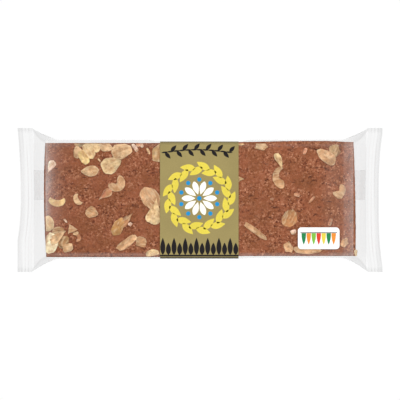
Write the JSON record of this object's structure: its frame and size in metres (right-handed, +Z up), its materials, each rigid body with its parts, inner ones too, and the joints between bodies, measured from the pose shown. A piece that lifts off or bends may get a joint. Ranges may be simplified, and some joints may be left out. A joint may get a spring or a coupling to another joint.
{
  "type": "filled speculaas bar in a clear bag",
  "caption": "Flat spiced biscuit bar with an almond filling and flaked almonds on top, sealed in a clear film bag with crimped ends and a printed band.",
  "frame": {"origin": "middle of the pack's underside, at the centre of its outer box", "axes": "+X along the bar from the left crimped end to the right, +Y towards the top of the printed band, +Z up out of the almond-topped face"},
  "size_m": [0.256, 0.101, 0.0217],
  "materials": {
    "clear_film": "clear glossy film drawn close over brown speculaas and pale almond flakes",
    "label_paper": "satin khaki print with yellow, near-black and cream figures",
    "sticker_paper": "satin white sticker with small fields of colour",
    "speculaas": "matt baked dough, brown with fine crumb and spice specks",
    "almond": "pale toasted flaked almond"
  },
  "bodies": {
    "root": {"sealed_bag": "clear_film", "label_band": "label_paper", "corner_sticker": "sticker_paper"}
  },
  "joints": []
}
